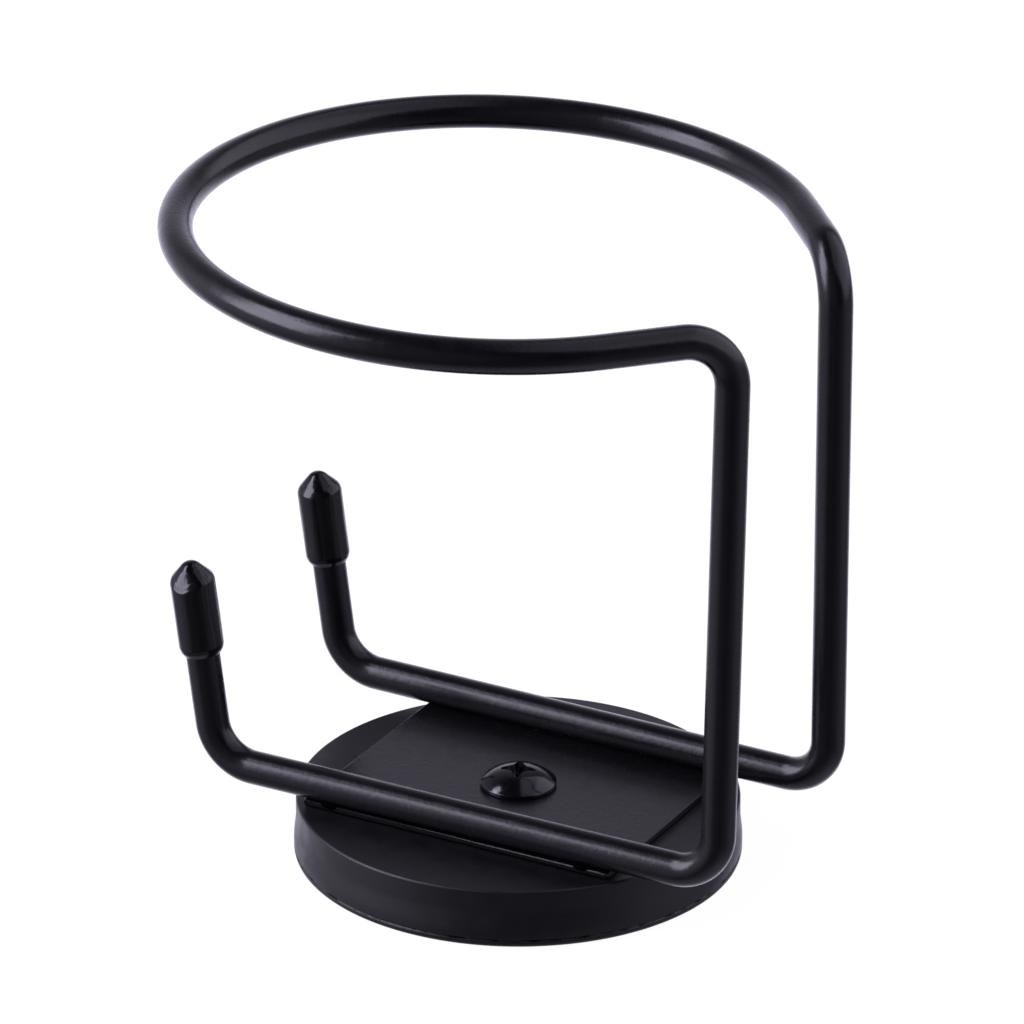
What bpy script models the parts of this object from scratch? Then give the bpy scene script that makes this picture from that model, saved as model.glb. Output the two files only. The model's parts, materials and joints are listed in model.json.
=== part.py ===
"""A magnetic holder for a hair dryer.

One steel rod is bent into a ring on two uprights, two rails and two prongs. The rails are welded to
a sheet-steel plate, and one cross-recess screw clamps the plate to a rubber-coated magnet base. The
base stands on the plane Z = 0 with its axis on Z. The rails run along X, prongs at -X, uprights at +X.
Lengths are in metres.
"""

import math

import bmesh
import bpy
from mathutils import Matrix, Vector

MM = 0.001

# Gaps between pieces that touch or turn on each other.
GAP = 0.1 * MM
WELD_GAP = 0.05 * MM

# Rubber jacket of the magnet base.
BASE_RADIUS = 33.1 * MM
BASE_HEIGHT = 8.9 * MM
SHOULDER_RADIUS = 32.75 * MM
SHOULDER_HEIGHT = 5.3 * MM
SHOULDER_DROP = 2.8 * MM
JACKET_EDGE_ROUNDING = 0.7 * MM
JACKET_FLOOR = 0.9 * MM
JACKET_MOUTH_RADIUS = 4.6 * MM

# Inside the jacket: a steel yoke with a threaded bush, and a ring of disc magnets under it.
MAGNET_COUNT = 10
MAGNET_RADIUS = 6.0 * MM
MAGNET_THICKNESS = 3.0 * MM
MAGNET_CIRCLE_RADIUS = 21.5 * MM
MAGNET_CHAMFER = 0.25 * MM
YOKE_RADIUS = 30.0 * MM
YOKE_THICKNESS = 3.0 * MM
YOKE_CHAMFER = 0.3 * MM
BUSH_RADIUS = 4.4 * MM
BUSH_FLANGE_RADIUS = 6.4 * MM
BUSH_FLANGE_THICKNESS = 1.4 * MM
BUSH_CHAMFER = 0.3 * MM
BUSH_FLOOR = 1.0 * MM
THREAD_RADIUS = 2.5 * MM

# Sheet-steel plate between the rails and the base.
PLATE_LENGTH = 50.4 * MM
PLATE_WIDTH = 39.4 * MM
PLATE_THICKNESS = 1.0 * MM
PLATE_EDGE_ROUNDING = 0.2 * MM
PLATE_HOLE_RADIUS = 2.75 * MM

# Screw with a truss head and a cross recess.
SHANK_RADIUS = 2.42 * MM
SHANK_LENGTH = 6.0 * MM
SHANK_CHAMFER = 0.5 * MM
HEAD_RADIUS = 5.65 * MM
HEAD_RIM = 0.6 * MM
HEAD_HEIGHT = 2.6 * MM
HEAD_EDGE_ROUNDING = 0.25 * MM
RECESS_SPAN = 5.2 * MM
RECESS_WIDTH = 1.25 * MM
RECESS_DEPTH = 1.7 * MM
RECESS_TAPER = 0.45
RECESS_ANGLE = math.radians(21)

# Bent rod. Its two rails draw together a little, from the prongs to the feet of the uprights.
ROD_RADIUS = 2.5 * MM
BEND_RADIUS = 6.9 * MM
TOP_BEND_RADIUS = 7.6 * MM
PRONG_SPACING = 37.0 * MM
FOOT_SPACING = 35.4 * MM
UPRIGHT_X = 41.9 * MM
UPRIGHT_TOP_SPACING = 31.9 * MM
UPRIGHT_TOP_HEIGHT = 95.7 * MM
RING_RADIUS = 45.4 * MM
RING_CENTRE_X = -4.07 * MM
RING_MOUTH_HALF_ANGLE = math.radians(41.6)
RING_TILT = math.radians(1.65)
PRONG_X = -40.3 * MM
PRONG_LEAN = math.radians(7.8)
PRONG_TOP_HEIGHT = 40.3 * MM

# Vinyl cap on each prong. Its tip is a blunt cone over a hollow of the same form.
CAP_RADIUS = 3.35 * MM
CAP_LENGTH = 14.5 * MM
CAP_WALL = 0.8 * MM
CAP_OVERHANG = 3.4 * MM
CAP_TIP_RADIUS = 1.0 * MM
CAP_TIP_ROUNDING = 1.3 * MM
CAP_CONE_HEIGHT = 2.5 * MM
CAP_SHOULDER_ROUNDING = 2.2 * MM
CAP_LIP_HEIGHT = 1.0 * MM
CAP_LIP_RADIUS = 2.7 * MM
CAP_BORE_GAP = 0.05 * MM

# Weld beads outside each rail, between the rod and the plate's edge.
WELD_X = 20.8 * MM
WELD_LENGTH = 3.4 * MM
WELD_WIDTH = 2.6 * MM
WELD_HEIGHT = 2.2 * MM
WELD_OFFSET = 1.2 * MM

# Facets.
BEND_STEPS = 8
RING_STEPS = 66
ROD_BEVEL_RESOLUTION = 6
TURNED_STEPS = 24
YOKE_STEPS = 48
JACKET_STEPS = 72
MAGNET_STEPS = 24
BEAD_STEPS = 16
ROUNDING_STEPS = 3
DOME_STEPS = 8
SHARP_ANGLE = math.radians(35)
MERGE_DISTANCE = 0.002 * MM

# Heights that follow from the stack, from the floor up.
MAGNET_BOTTOM = JACKET_FLOOR + GAP
YOKE_BOTTOM = MAGNET_BOTTOM + MAGNET_THICKNESS + GAP
YOKE_TOP = YOKE_BOTTOM + YOKE_THICKNESS
PLATE_BOTTOM = BASE_HEIGHT + GAP
PLATE_TOP = PLATE_BOTTOM + PLATE_THICKNESS
RAIL_HEIGHT = PLATE_TOP + WELD_GAP + ROD_RADIUS
HEAD_BOTTOM = PLATE_TOP + WELD_GAP


def material(name, colour, roughness, metallic=0.0):
    """A Principled material of one colour."""
    made = bpy.data.materials.new(name)
    made.use_nodes = True
    shader = made.node_tree.nodes["Principled BSDF"]
    shader.inputs["Base Color"].default_value = (*colour, 1.0)
    shader.inputs["Roughness"].default_value = roughness
    shader.inputs["Metallic"].default_value = metallic
    return made


def collection(name):
    """A new collection in the scene."""
    made = bpy.data.collections.new(name)
    bpy.context.scene.collection.children.link(made)
    return made


def place(name, data, where, finish=None, location=(0.0, 0.0, 0.0)):
    """A new object of that data in a collection, with its material."""
    obj = bpy.data.objects.new(name, data)
    obj.location = location
    where.objects.link(obj)
    if finish is not None:
        data.materials.append(finish)
    return obj


def round_corners(corners, radii, steps):
    """The open line through the corners, with each inner corner replaced by an arc of its radius."""
    points = [corners[0]]
    for before, corner, after, radius in zip(corners, corners[1:], corners[2:], radii):
        if radius == 0:
            points.append(corner)
            continue
        towards_before = (before - corner).normalized()
        towards_after = (after - corner).normalized()
        half_angle = towards_before.angle(towards_after) / 2
        centre = corner + (towards_before + towards_after).normalized() * (radius / math.sin(half_angle))
        reach = radius / math.tan(half_angle)
        first = corner + towards_before * reach - centre
        last = corner + towards_after * reach - centre
        turn = first.angle(last)
        for step in range(steps + 1):
            share = step / steps
            weight_first = math.sin((1 - share) * turn) / math.sin(turn)
            weight_last = math.sin(share * turn) / math.sin(turn)
            points.append(centre + first * weight_first + last * weight_last)
    points.append(corners[-1])
    return points


def profile(corners, steps=ROUNDING_STEPS):
    """A turned profile in the XZ plane, from (radius, height, corner rounding) triples."""
    places = [Vector((radius, 0.0, height)) for radius, height, _ in corners]
    roundings = [rounding for _, _, rounding in corners[1:-1]]
    return round_corners(places, roundings, steps)


def apply_modifiers(obj):
    """Turns the object's modifiers into its mesh, and shades its round faces smooth."""
    graph = bpy.context.evaluated_depsgraph_get()
    mesh = bpy.data.meshes.new_from_object(obj.evaluated_get(graph))
    mesh.name = obj.name
    obj.modifiers.clear()
    obj.data = mesh
    mesh.shade_smooth()
    mesh.set_sharp_from_angle(angle=SHARP_ANGLE)


def turned(name, points, where, finish=None, steps=TURNED_STEPS, closed=False):
    """A solid of revolution about the object's Z axis. Its profile runs down the outer side."""
    edges = [(i, i + 1) for i in range(len(points) - 1)]
    if closed:
        edges.append((len(points) - 1, 0))
    mesh = bpy.data.meshes.new(name)
    mesh.from_pydata(points, edges, [])
    obj = place(name, mesh, where, finish)
    screw = obj.modifiers.new("Turn", "SCREW")
    screw.angle = 2 * math.pi
    screw.steps = steps
    screw.render_steps = steps
    screw.use_merge_vertices = True
    screw.merge_threshold = MERGE_DISTANCE
    apply_modifiers(obj)
    return obj


def cut(obj, cutter):
    """Cuts the cutter out of the object."""
    boolean = obj.modifiers.new("Cut", "BOOLEAN")
    boolean.operation = "DIFFERENCE"
    boolean.object = cutter
    bpy.context.view_layer.update()
    apply_modifiers(obj)


def hide_cutter(obj):
    """Marks a cutter, which isn't part of the object."""
    obj.hide_render = True
    obj.display_type = "WIRE"
    return obj


def cylinder_cutter(name, radius, bottom, top, where, location=(0.0, 0.0), steps=TURNED_STEPS):
    """An upright cylinder cutter between two heights."""
    mesh = bpy.data.meshes.new(name)
    shape = bmesh.new()
    bmesh.ops.create_cone(
        shape, cap_ends=True, segments=steps, radius1=radius, radius2=radius, depth=top - bottom
    )
    shape.to_mesh(mesh)
    shape.free()
    centre = (location[0], location[1], (top + bottom) / 2)
    return hide_cutter(place(name, mesh, where, location=centre))


def box_cutter(name, size, centre, where, bottom_scale=1.0):
    """A box cutter, which may narrow towards its bottom."""
    mesh = bpy.data.meshes.new(name)
    shape = bmesh.new()
    bmesh.ops.create_cube(shape, size=1.0)
    for vertex in shape.verts:
        narrowing = bottom_scale if vertex.co.z < 0 else 1.0
        vertex.co.x *= size[0] * narrowing
        vertex.co.y *= size[1] * narrowing
        vertex.co.z *= size[2]
    shape.to_mesh(mesh)
    shape.free()
    return hide_cutter(place(name, mesh, where, location=centre))


def magnet_places():
    """The centres of the disc magnets, on a circle about Z."""
    for index in range(MAGNET_COUNT):
        angle = 2 * math.pi * index / MAGNET_COUNT
        yield MAGNET_CIRCLE_RADIUS * math.cos(angle), MAGNET_CIRCLE_RADIUS * math.sin(angle)


def make_jacket(where, cutters, finish):
    """The rubber jacket, hollow for the yoke, its bush and the magnets, and open on top for the screw."""
    bush_room = BUSH_FLANGE_RADIUS + GAP
    yoke_room = YOKE_RADIUS + GAP
    points = profile(
        [
            (0.0, JACKET_FLOOR, 0.0),
            (bush_room, JACKET_FLOOR, 0.0),
            (bush_room, YOKE_BOTTOM - GAP, 0.0),
            (yoke_room, YOKE_BOTTOM - GAP, 0.0),
            (yoke_room, YOKE_TOP + GAP, 0.0),
            (JACKET_MOUTH_RADIUS, YOKE_TOP + GAP, 0.0),
            (JACKET_MOUTH_RADIUS, BASE_HEIGHT, 0.0),
            (SHOULDER_RADIUS, BASE_HEIGHT, JACKET_EDGE_ROUNDING),
            (SHOULDER_RADIUS, SHOULDER_HEIGHT, 0.0),
            (BASE_RADIUS, SHOULDER_HEIGHT - SHOULDER_DROP, 0.0),
            (BASE_RADIUS, 0.0, JACKET_EDGE_ROUNDING),
            (0.0, 0.0, 0.0),
        ]
    )
    jacket = turned("rubber_jacket", points, where, finish, steps=JACKET_STEPS)
    for number, place_xy in enumerate(magnet_places(), start=1):
        pocket = cylinder_cutter(
            f"magnet_pocket_{number:02d}",
            MAGNET_RADIUS + GAP,
            JACKET_FLOOR,
            YOKE_BOTTOM,
            cutters,
            place_xy,
            MAGNET_STEPS,
        )
        cut(jacket, pocket)
    return jacket


def make_yoke(where, finish):
    """The flat steel disc that closes the magnets' field, with a hole for its bush."""
    hole = BUSH_RADIUS + GAP
    points = profile(
        [
            (hole, YOKE_BOTTOM, 0.0),
            (hole, YOKE_TOP, 0.0),
            (YOKE_RADIUS - YOKE_CHAMFER, YOKE_TOP, 0.0),
            (YOKE_RADIUS, YOKE_TOP - YOKE_CHAMFER, 0.0),
            (YOKE_RADIUS, YOKE_BOTTOM + YOKE_CHAMFER, 0.0),
            (YOKE_RADIUS - YOKE_CHAMFER, YOKE_BOTTOM, 0.0),
        ]
    )
    return turned("steel_yoke_plate", points, where, finish, steps=YOKE_STEPS, closed=True)


def make_bush(where, finish):
    """The flanged bush in the yoke, with a blind threaded hole that takes the screw."""
    flange_top = YOKE_BOTTOM - GAP
    top = BASE_HEIGHT - GAP
    points = profile(
        [
            (0.0, MAGNET_BOTTOM + BUSH_FLOOR, 0.0),
            (THREAD_RADIUS, MAGNET_BOTTOM + BUSH_FLOOR, 0.0),
            (THREAD_RADIUS, top - BUSH_CHAMFER, 0.0),
            (THREAD_RADIUS + BUSH_CHAMFER, top, 0.0),
            (BUSH_RADIUS - BUSH_CHAMFER, top, 0.0),
            (BUSH_RADIUS, top - BUSH_CHAMFER, 0.0),
            (BUSH_RADIUS, flange_top, 0.0),
            (BUSH_FLANGE_RADIUS, flange_top, 0.0),
            (BUSH_FLANGE_RADIUS, flange_top - BUSH_FLANGE_THICKNESS, 0.0),
            (BUSH_RADIUS, flange_top - BUSH_FLANGE_THICKNESS, 0.0),
            (BUSH_RADIUS, MAGNET_BOTTOM, 0.0),
            (0.0, MAGNET_BOTTOM, 0.0),
        ]
    )
    return turned("threaded_bush", points, where, finish)


def make_magnets(where, finish):
    """The ring of disc magnets. They share one mesh."""
    shape = bmesh.new()
    bmesh.ops.create_cone(
        shape,
        cap_ends=True,
        segments=MAGNET_STEPS,
        radius1=MAGNET_RADIUS,
        radius2=MAGNET_RADIUS,
        depth=MAGNET_THICKNESS,
    )
    rims = [edge for edge in shape.edges if abs(edge.verts[0].co.z - edge.verts[1].co.z) < MERGE_DISTANCE]
    bmesh.ops.bevel(shape, geom=rims, offset=MAGNET_CHAMFER, segments=1, affect="EDGES")
    mesh = bpy.data.meshes.new("disc_magnet")
    shape.to_mesh(mesh)
    shape.free()
    mesh.shade_smooth()
    mesh.set_sharp_from_angle(angle=SHARP_ANGLE)
    mesh.materials.append(finish)
    height = MAGNET_BOTTOM + MAGNET_THICKNESS / 2
    return [
        place(f"disc_magnet_{number:02d}", mesh, where, location=(x, y, height))
        for number, (x, y) in enumerate(magnet_places(), start=1)
    ]


def make_plate(where, cutters, finish):
    """The sheet-steel plate that carries the rails, with its screw hole."""
    mesh = bpy.data.meshes.new("mounting_plate")
    shape = bmesh.new()
    bmesh.ops.create_cube(shape, size=1.0)
    bmesh.ops.scale(shape, vec=(PLATE_LENGTH, PLATE_WIDTH, PLATE_THICKNESS), verts=shape.verts)
    shape.to_mesh(mesh)
    shape.free()
    centre = (0.0, 0.0, (PLATE_BOTTOM + PLATE_TOP) / 2)
    plate = place("mounting_plate", mesh, where, finish, location=centre)
    bevel = plate.modifiers.new("Edges", "BEVEL")
    bevel.width = PLATE_EDGE_ROUNDING
    bevel.segments = 2
    hole = cylinder_cutter("plate_hole", PLATE_HOLE_RADIUS, 0.0, 2 * PLATE_TOP, cutters)
    cut(plate, hole)
    return plate


def make_screw(where, cutters, finish):
    """The truss-head screw, with its origin under the head, on its own axis."""
    dome_height = HEAD_HEIGHT - HEAD_RIM
    dome_radius = (HEAD_RADIUS**2 + dome_height**2) / (2 * dome_height)
    dome_half_angle = math.asin(HEAD_RADIUS / dome_radius)
    dome = [
        Vector((dome_radius * math.sin(angle), 0.0, HEAD_HEIGHT - dome_radius * (1 - math.cos(angle))))
        for angle in (dome_half_angle * step / DOME_STEPS for step in range(DOME_STEPS + 1))
    ]
    below = profile(
        [
            (HEAD_RADIUS, HEAD_RIM, 0.0),
            (HEAD_RADIUS, 0.0, HEAD_EDGE_ROUNDING),
            (SHANK_RADIUS, 0.0, 0.0),
            (SHANK_RADIUS, SHANK_CHAMFER - SHANK_LENGTH, 0.0),
            (SHANK_RADIUS - SHANK_CHAMFER, -SHANK_LENGTH, 0.0),
            (0.0, -SHANK_LENGTH, 0.0),
        ]
    )
    screw = turned("clamp_screw", dome + below[1:], where, finish)
    for number in range(2):
        wing = box_cutter(
            f"recess_wing_{number + 1}",
            (RECESS_SPAN, RECESS_WIDTH, 2 * RECESS_DEPTH),
            (0.0, 0.0, HEAD_HEIGHT),
            cutters,
            bottom_scale=RECESS_TAPER,
        )
        wing.rotation_euler.z = RECESS_ANGLE + number * math.pi / 2
        cut(screw, wing)
        wing.location.z += HEAD_BOTTOM
    screw.location.z = HEAD_BOTTOM
    return screw


def upright_top():
    """Where the line of an upright meets the line of its arm, on the side with y above 0."""
    along = Vector((math.sin(RING_MOUTH_HALF_ANGLE), -math.cos(RING_MOUTH_HALF_ANGLE)))
    ring_end = RING_RADIUS * Vector((math.cos(RING_MOUTH_HALF_ANGLE), math.sin(RING_MOUTH_HALF_ANGLE)))
    length = (ring_end.y - UPRIGHT_TOP_SPACING / 2) / -along.y
    x = RING_CENTRE_X + ring_end.x + length * along.x
    return Vector((x, UPRIGHT_TOP_SPACING / 2, UPRIGHT_TOP_HEIGHT))


def ring_point(angle):
    """A point of the ring's centreline. The ring rises a little from the uprights to its far side."""
    x = RING_CENTRE_X + RING_RADIUS * math.cos(angle)
    rise = (upright_top().x - x) * math.tan(RING_TILT)
    return Vector((x, RING_RADIUS * math.sin(angle), UPRIGHT_TOP_HEIGHT + rise))


def rail_y(x):
    """The distance of a rail's centreline from the XZ plane at a place along X."""
    share = (x - PRONG_X) / (UPRIGHT_X - PRONG_X)
    return (PRONG_SPACING + (FOOT_SPACING - PRONG_SPACING) * share) / 2


def prong_end(side):
    """The centre of a prong's end, on the side +1 or -1 of the XZ plane."""
    lean = (PRONG_TOP_HEIGHT - RAIL_HEIGHT) * math.tan(PRONG_LEAN)
    return Vector((PRONG_X - lean, side * PRONG_SPACING / 2, PRONG_TOP_HEIGHT))


def rod_centreline():
    """The whole rod: prong, rail, upright, arm, ring, and the same back on the other side."""
    corners = [
        prong_end(1),
        Vector((PRONG_X, PRONG_SPACING / 2, RAIL_HEIGHT)),
        Vector((UPRIGHT_X, FOOT_SPACING / 2, RAIL_HEIGHT)),
        upright_top(),
        ring_point(RING_MOUTH_HALF_ANGLE),
    ]
    half = round_corners(corners, [BEND_RADIUS, BEND_RADIUS, TOP_BEND_RADIUS], BEND_STEPS)
    swept = 2 * (math.pi - RING_MOUTH_HALF_ANGLE)
    ring = [ring_point(RING_MOUTH_HALF_ANGLE + swept * step / RING_STEPS) for step in range(1, RING_STEPS)]
    other_half = [Vector((point.x, -point.y, point.z)) for point in reversed(half)]
    return half + ring + other_half


def make_rod(where, finish):
    """The bent rod as a bevelled curve with filled ends."""
    curve = bpy.data.curves.new("bent_rod_frame", "CURVE")
    curve.dimensions = "3D"
    curve.bevel_depth = ROD_RADIUS
    curve.bevel_resolution = ROD_BEVEL_RESOLUTION
    curve.use_fill_caps = True
    points = rod_centreline()
    spline = curve.splines.new("POLY")
    spline.points.add(len(points) - 1)
    for control, point in zip(spline.points, points):
        control.co = (*point, 1.0)
    return place("bent_rod_frame", curve, where, finish)


def make_cap(name, side, where, finish):
    """A soft cap pushed over a prong. Its own Z axis is the prong's, and its origin the prong's end."""
    bore = ROD_RADIUS + CAP_BORE_GAP
    tip = CAP_OVERHANG
    mouth = tip - CAP_LENGTH
    points = profile(
        [
            (0.0, tip, 0.0),
            (CAP_TIP_RADIUS, tip, CAP_TIP_ROUNDING),
            (CAP_RADIUS, tip - CAP_CONE_HEIGHT, CAP_SHOULDER_ROUNDING),
            (CAP_RADIUS, mouth + CAP_LIP_HEIGHT, 0.0),
            (CAP_LIP_RADIUS, mouth, 0.0),
            (bore, mouth, 0.0),
            (bore, tip - CAP_CONE_HEIGHT - CAP_WALL, 0.0),
            (CAP_TIP_RADIUS, tip - CAP_WALL, 0.0),
            (0.0, tip - CAP_WALL, 0.0),
        ]
    )
    cap = turned(name, points, where, finish)
    cap.location = prong_end(side)
    cap.rotation_euler.y = -PRONG_LEAN
    return cap


def make_weld(name, x, side, where, cutters, finish):
    """A small bead outside a rail, on the plate's edge. The rail and the plate are cut out of it.

    Over a bead's length the rail's slant is under its weld gap, so the cutter runs along X.
    """
    mesh = bpy.data.meshes.new(name)
    shape = bmesh.new()
    bmesh.ops.create_uvsphere(shape, u_segments=BEAD_STEPS, v_segments=BEAD_STEPS // 2, radius=0.5)
    bmesh.ops.scale(shape, vec=(WELD_LENGTH, WELD_WIDTH, WELD_HEIGHT), verts=shape.verts)
    shape.to_mesh(mesh)
    shape.free()
    height = PLATE_BOTTOM + GAP + WELD_HEIGHT / 2
    bead = place(name, mesh, where, finish, location=(x, side * (rail_y(x) + WELD_OFFSET), height))
    rail = cylinder_cutter(f"{name}_rail", ROD_RADIUS + WELD_GAP, -WELD_LENGTH, WELD_LENGTH, cutters)
    rail.matrix_world = Matrix.Translation((x, side * rail_y(x), RAIL_HEIGHT)) @ Matrix.Rotation(math.pi / 2, 4, "Y")
    cut(bead, rail)
    plate_size = (PLATE_LENGTH, PLATE_WIDTH + 2 * WELD_GAP, PLATE_THICKNESS + 2 * WELD_GAP)
    plate_centre = (0.0, 0.0, (PLATE_BOTTOM + PLATE_TOP) / 2)
    cut(bead, box_cutter(f"{name}_plate", plate_size, plate_centre, cutters))
    return bead


def axis_empty(name, location, where):
    """An empty on a joint's axis, to hold the pieces that move together."""
    return place(name, None, where, location=location)


def hold(parent, pieces):
    """Parents the pieces without moving them."""
    bpy.context.view_layer.update()
    for piece in pieces:
        piece.parent = parent
        piece.matrix_parent_inverse = parent.matrix_world.inverted()


def main():
    for obj in list(bpy.data.objects):
        bpy.data.objects.remove(obj)
    holder = collection("hair_dryer_holder")
    cutters = collection("cutters")
    powder_coat = material("black_powder_coat", (0.016, 0.016, 0.018), 0.42)
    rubber = material("black_rubber", (0.018, 0.018, 0.019), 0.72)
    vinyl = material("black_vinyl", (0.008, 0.008, 0.009), 0.22)
    screw_black = material("black_screw", (0.010, 0.010, 0.011), 0.16)
    steel = material("zinc_plated_steel", (0.62, 0.62, 0.60), 0.35, 1.0)
    nickel = material("nickel_plating", (0.72, 0.70, 0.66), 0.22, 1.0)

    make_jacket(holder, cutters, rubber)
    make_yoke(holder, steel)
    make_bush(holder, steel)
    make_magnets(holder, nickel)

    swivelling = [make_plate(holder, cutters, powder_coat), make_rod(holder, powder_coat)]
    for side_name, side in (("front", -1), ("rear", 1)):
        for end_name, x in (("left", -WELD_X), ("right", WELD_X)):
            name = f"weld_bead_{side_name}_{end_name}"
            swivelling.append(make_weld(name, x, side, holder, cutters, powder_coat))
        swivelling.append(make_cap(f"{side_name}_prong_cap", side, holder, vinyl))
    hold(axis_empty("frame_swivel_axis", (0.0, 0.0, PLATE_BOTTOM), holder), swivelling)
    make_screw(holder, cutters, screw_black)


main()
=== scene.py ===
import json
import math

import bmesh
import bpy
from mathutils import Matrix, Vector, noise


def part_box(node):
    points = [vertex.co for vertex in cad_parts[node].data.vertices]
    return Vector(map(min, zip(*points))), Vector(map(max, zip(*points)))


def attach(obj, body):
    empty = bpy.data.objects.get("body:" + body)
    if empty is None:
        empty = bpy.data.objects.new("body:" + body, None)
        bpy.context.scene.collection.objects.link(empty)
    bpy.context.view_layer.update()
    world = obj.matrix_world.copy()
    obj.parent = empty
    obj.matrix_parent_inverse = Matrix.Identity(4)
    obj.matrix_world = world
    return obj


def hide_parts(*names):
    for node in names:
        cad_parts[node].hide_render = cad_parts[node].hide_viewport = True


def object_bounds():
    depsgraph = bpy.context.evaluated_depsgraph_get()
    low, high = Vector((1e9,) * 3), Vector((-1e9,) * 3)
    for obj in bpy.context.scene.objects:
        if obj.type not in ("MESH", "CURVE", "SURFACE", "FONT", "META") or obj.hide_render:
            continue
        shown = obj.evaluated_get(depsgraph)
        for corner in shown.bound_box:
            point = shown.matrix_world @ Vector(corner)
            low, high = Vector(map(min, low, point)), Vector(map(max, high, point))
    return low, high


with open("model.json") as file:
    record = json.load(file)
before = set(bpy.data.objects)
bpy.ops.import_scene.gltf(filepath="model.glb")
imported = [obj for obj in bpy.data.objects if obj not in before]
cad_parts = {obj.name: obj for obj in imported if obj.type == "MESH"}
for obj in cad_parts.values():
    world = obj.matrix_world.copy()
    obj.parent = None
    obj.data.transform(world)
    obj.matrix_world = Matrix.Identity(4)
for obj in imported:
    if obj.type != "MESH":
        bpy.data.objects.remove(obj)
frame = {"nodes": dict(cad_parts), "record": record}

# The looks of the magnetic hair dryer holder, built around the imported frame.
# Lengths are in metres, as in the frame. Azimuths turn from -Y towards +X, like the camera's.

cad_low, cad_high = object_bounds()
MM = 0.001

# ---------------------------------------------------------------- sizes

# The rod. Its places come from the frame's boxes, and its bends are the design's.
ROD_RADIUS = 2.5 * MM
ROD_SIDES = 40
BEND_RADIUS = 6.9 * MM
TOP_BEND_RADIUS = 7.6 * MM
BEND_STEPS = 18
RING_STEPS = 200
PRONG_SPACING = 37.0 * MM
FOOT_SPACING = 35.4 * MM
UPRIGHT_X = 41.9 * MM
UPRIGHT_TOP_SPACING = 31.9 * MM
RING_MOUTH_HALF_ANGLE = math.radians(41.6)
RING_TILT = math.radians(1.65)
PRONG_X = -40.3 * MM
PRONG_LEAN = math.radians(7.8)
PRONG_TOP_HEIGHT = 40.3 * MM
ROD_END_CHAMFER = 0.4 * MM

# The vinyl caps, measured from the prong's end.
CAP_RADIUS = 3.35 * MM
CAP_LENGTH = 14.5 * MM
CAP_WALL = 0.8 * MM
CAP_OVERHANG = 3.4 * MM
CAP_TIP_RADIUS = 0.8 * MM
CAP_TIP_ROUNDING = 1.8 * MM
CAP_CONE_HEIGHT = 2.5 * MM
CAP_SHOULDER_ROUNDING = 2.0 * MM
CAP_TAPER_HEIGHT = 1.35 * MM
CAP_TAPER_RADIUS = 3.18 * MM
CAP_LIP_HEIGHT = 0.7 * MM
CAP_LIP_RADIUS = 2.75 * MM
CAP_BORE_RADIUS = 2.55 * MM
CAP_STEPS = 72
CAP_STEP_LENGTH = 0.7 * MM
CAP_SHRINK = 0.008
CAP_RUN = 0.010
CAP_RUN_LENGTH = 9 * MM

# The caps' shoulders, each pressed down on one flatter side.
CAP_FLAT_TOWARDS = math.radians(-92)
CAP_FLAT_REACH = 2.4 * MM
FRONT_CAP_FLAT = 1.2 * MM
REAR_CAP_FLAT = 0.3 * MM

# The plate. Its front arris is crisp at one end and worn at the other.
PLATE_EDGE_ROUNDING = 0.22 * MM
PLATE_EDGE_REACH = 1.01 * PLATE_EDGE_ROUNDING
PLATE_CORNER_ROUNDING = 0.6 * MM
PLATE_HOLE_RADIUS = 2.75 * MM
PLATE_FRONT_PIECES = 50
PLATE_CHAMFER = 0.15 * MM
PLATE_SHEAR = 0.36 * MM
PLATE_CRISP_X = -10 * MM
PLATE_WORN_X = 5 * MM
PLATE_CRISP_SHARE = 0.1

# The weld beads.
BEAD_LUMPS = 0.12 * MM
BEAD_LUMP_SCALE = 2.3
BEAD_SINK = 0.1 * MM
BEAD_SPILL = 0.45 * MM
BEAD_STEPS = 32

# The screw.
HEAD_GAP = 0.03 * MM
HEAD_RIM = 0.6 * MM
DOME_POWER = 2.7
DOME_STEPS = 28
HEAD_EDGE_ROUNDING = 0.18 * MM
SHANK_RADIUS = 2.4 * MM
SHANK_POINT = 0.5 * MM
SHANK_POINT_SLOPE = 0.6
SHANK_END_INSET = 0.2 * MM
THREAD_PITCH = 0.8 * MM
THREAD_DEPTH = 0.45 * MM
THREAD_ROWS_PER_TURN = 12
SCREW_STEPS = 128
RECESS_ANGLE = math.radians(21)
RECESS_EDGE = 0.18 * MM
RECESS_REACH = 3.2 * MM
RECESS_SHARP = math.radians(30)

# The cross recess from above the head down: an arm's reach, its half widths at root and tip,
# the web between arms, and the depth below the head's top.
RECESS_LEVELS = (
    (2.85 * MM, 1.00 * MM, 0.55 * MM, 0.75 * MM, -0.50 * MM),
    (2.60 * MM, 0.76 * MM, 0.36 * MM, 0.52 * MM, 0.10 * MM),
    (2.35 * MM, 0.66 * MM, 0.30 * MM, 0.40 * MM, 0.95 * MM),
    (1.50 * MM, 0.48 * MM, 0.22 * MM, 0.25 * MM, 1.60 * MM),
    (0.80 * MM, 0.28 * MM, 0.12 * MM, 0.12 * MM, 1.95 * MM),
)

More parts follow.
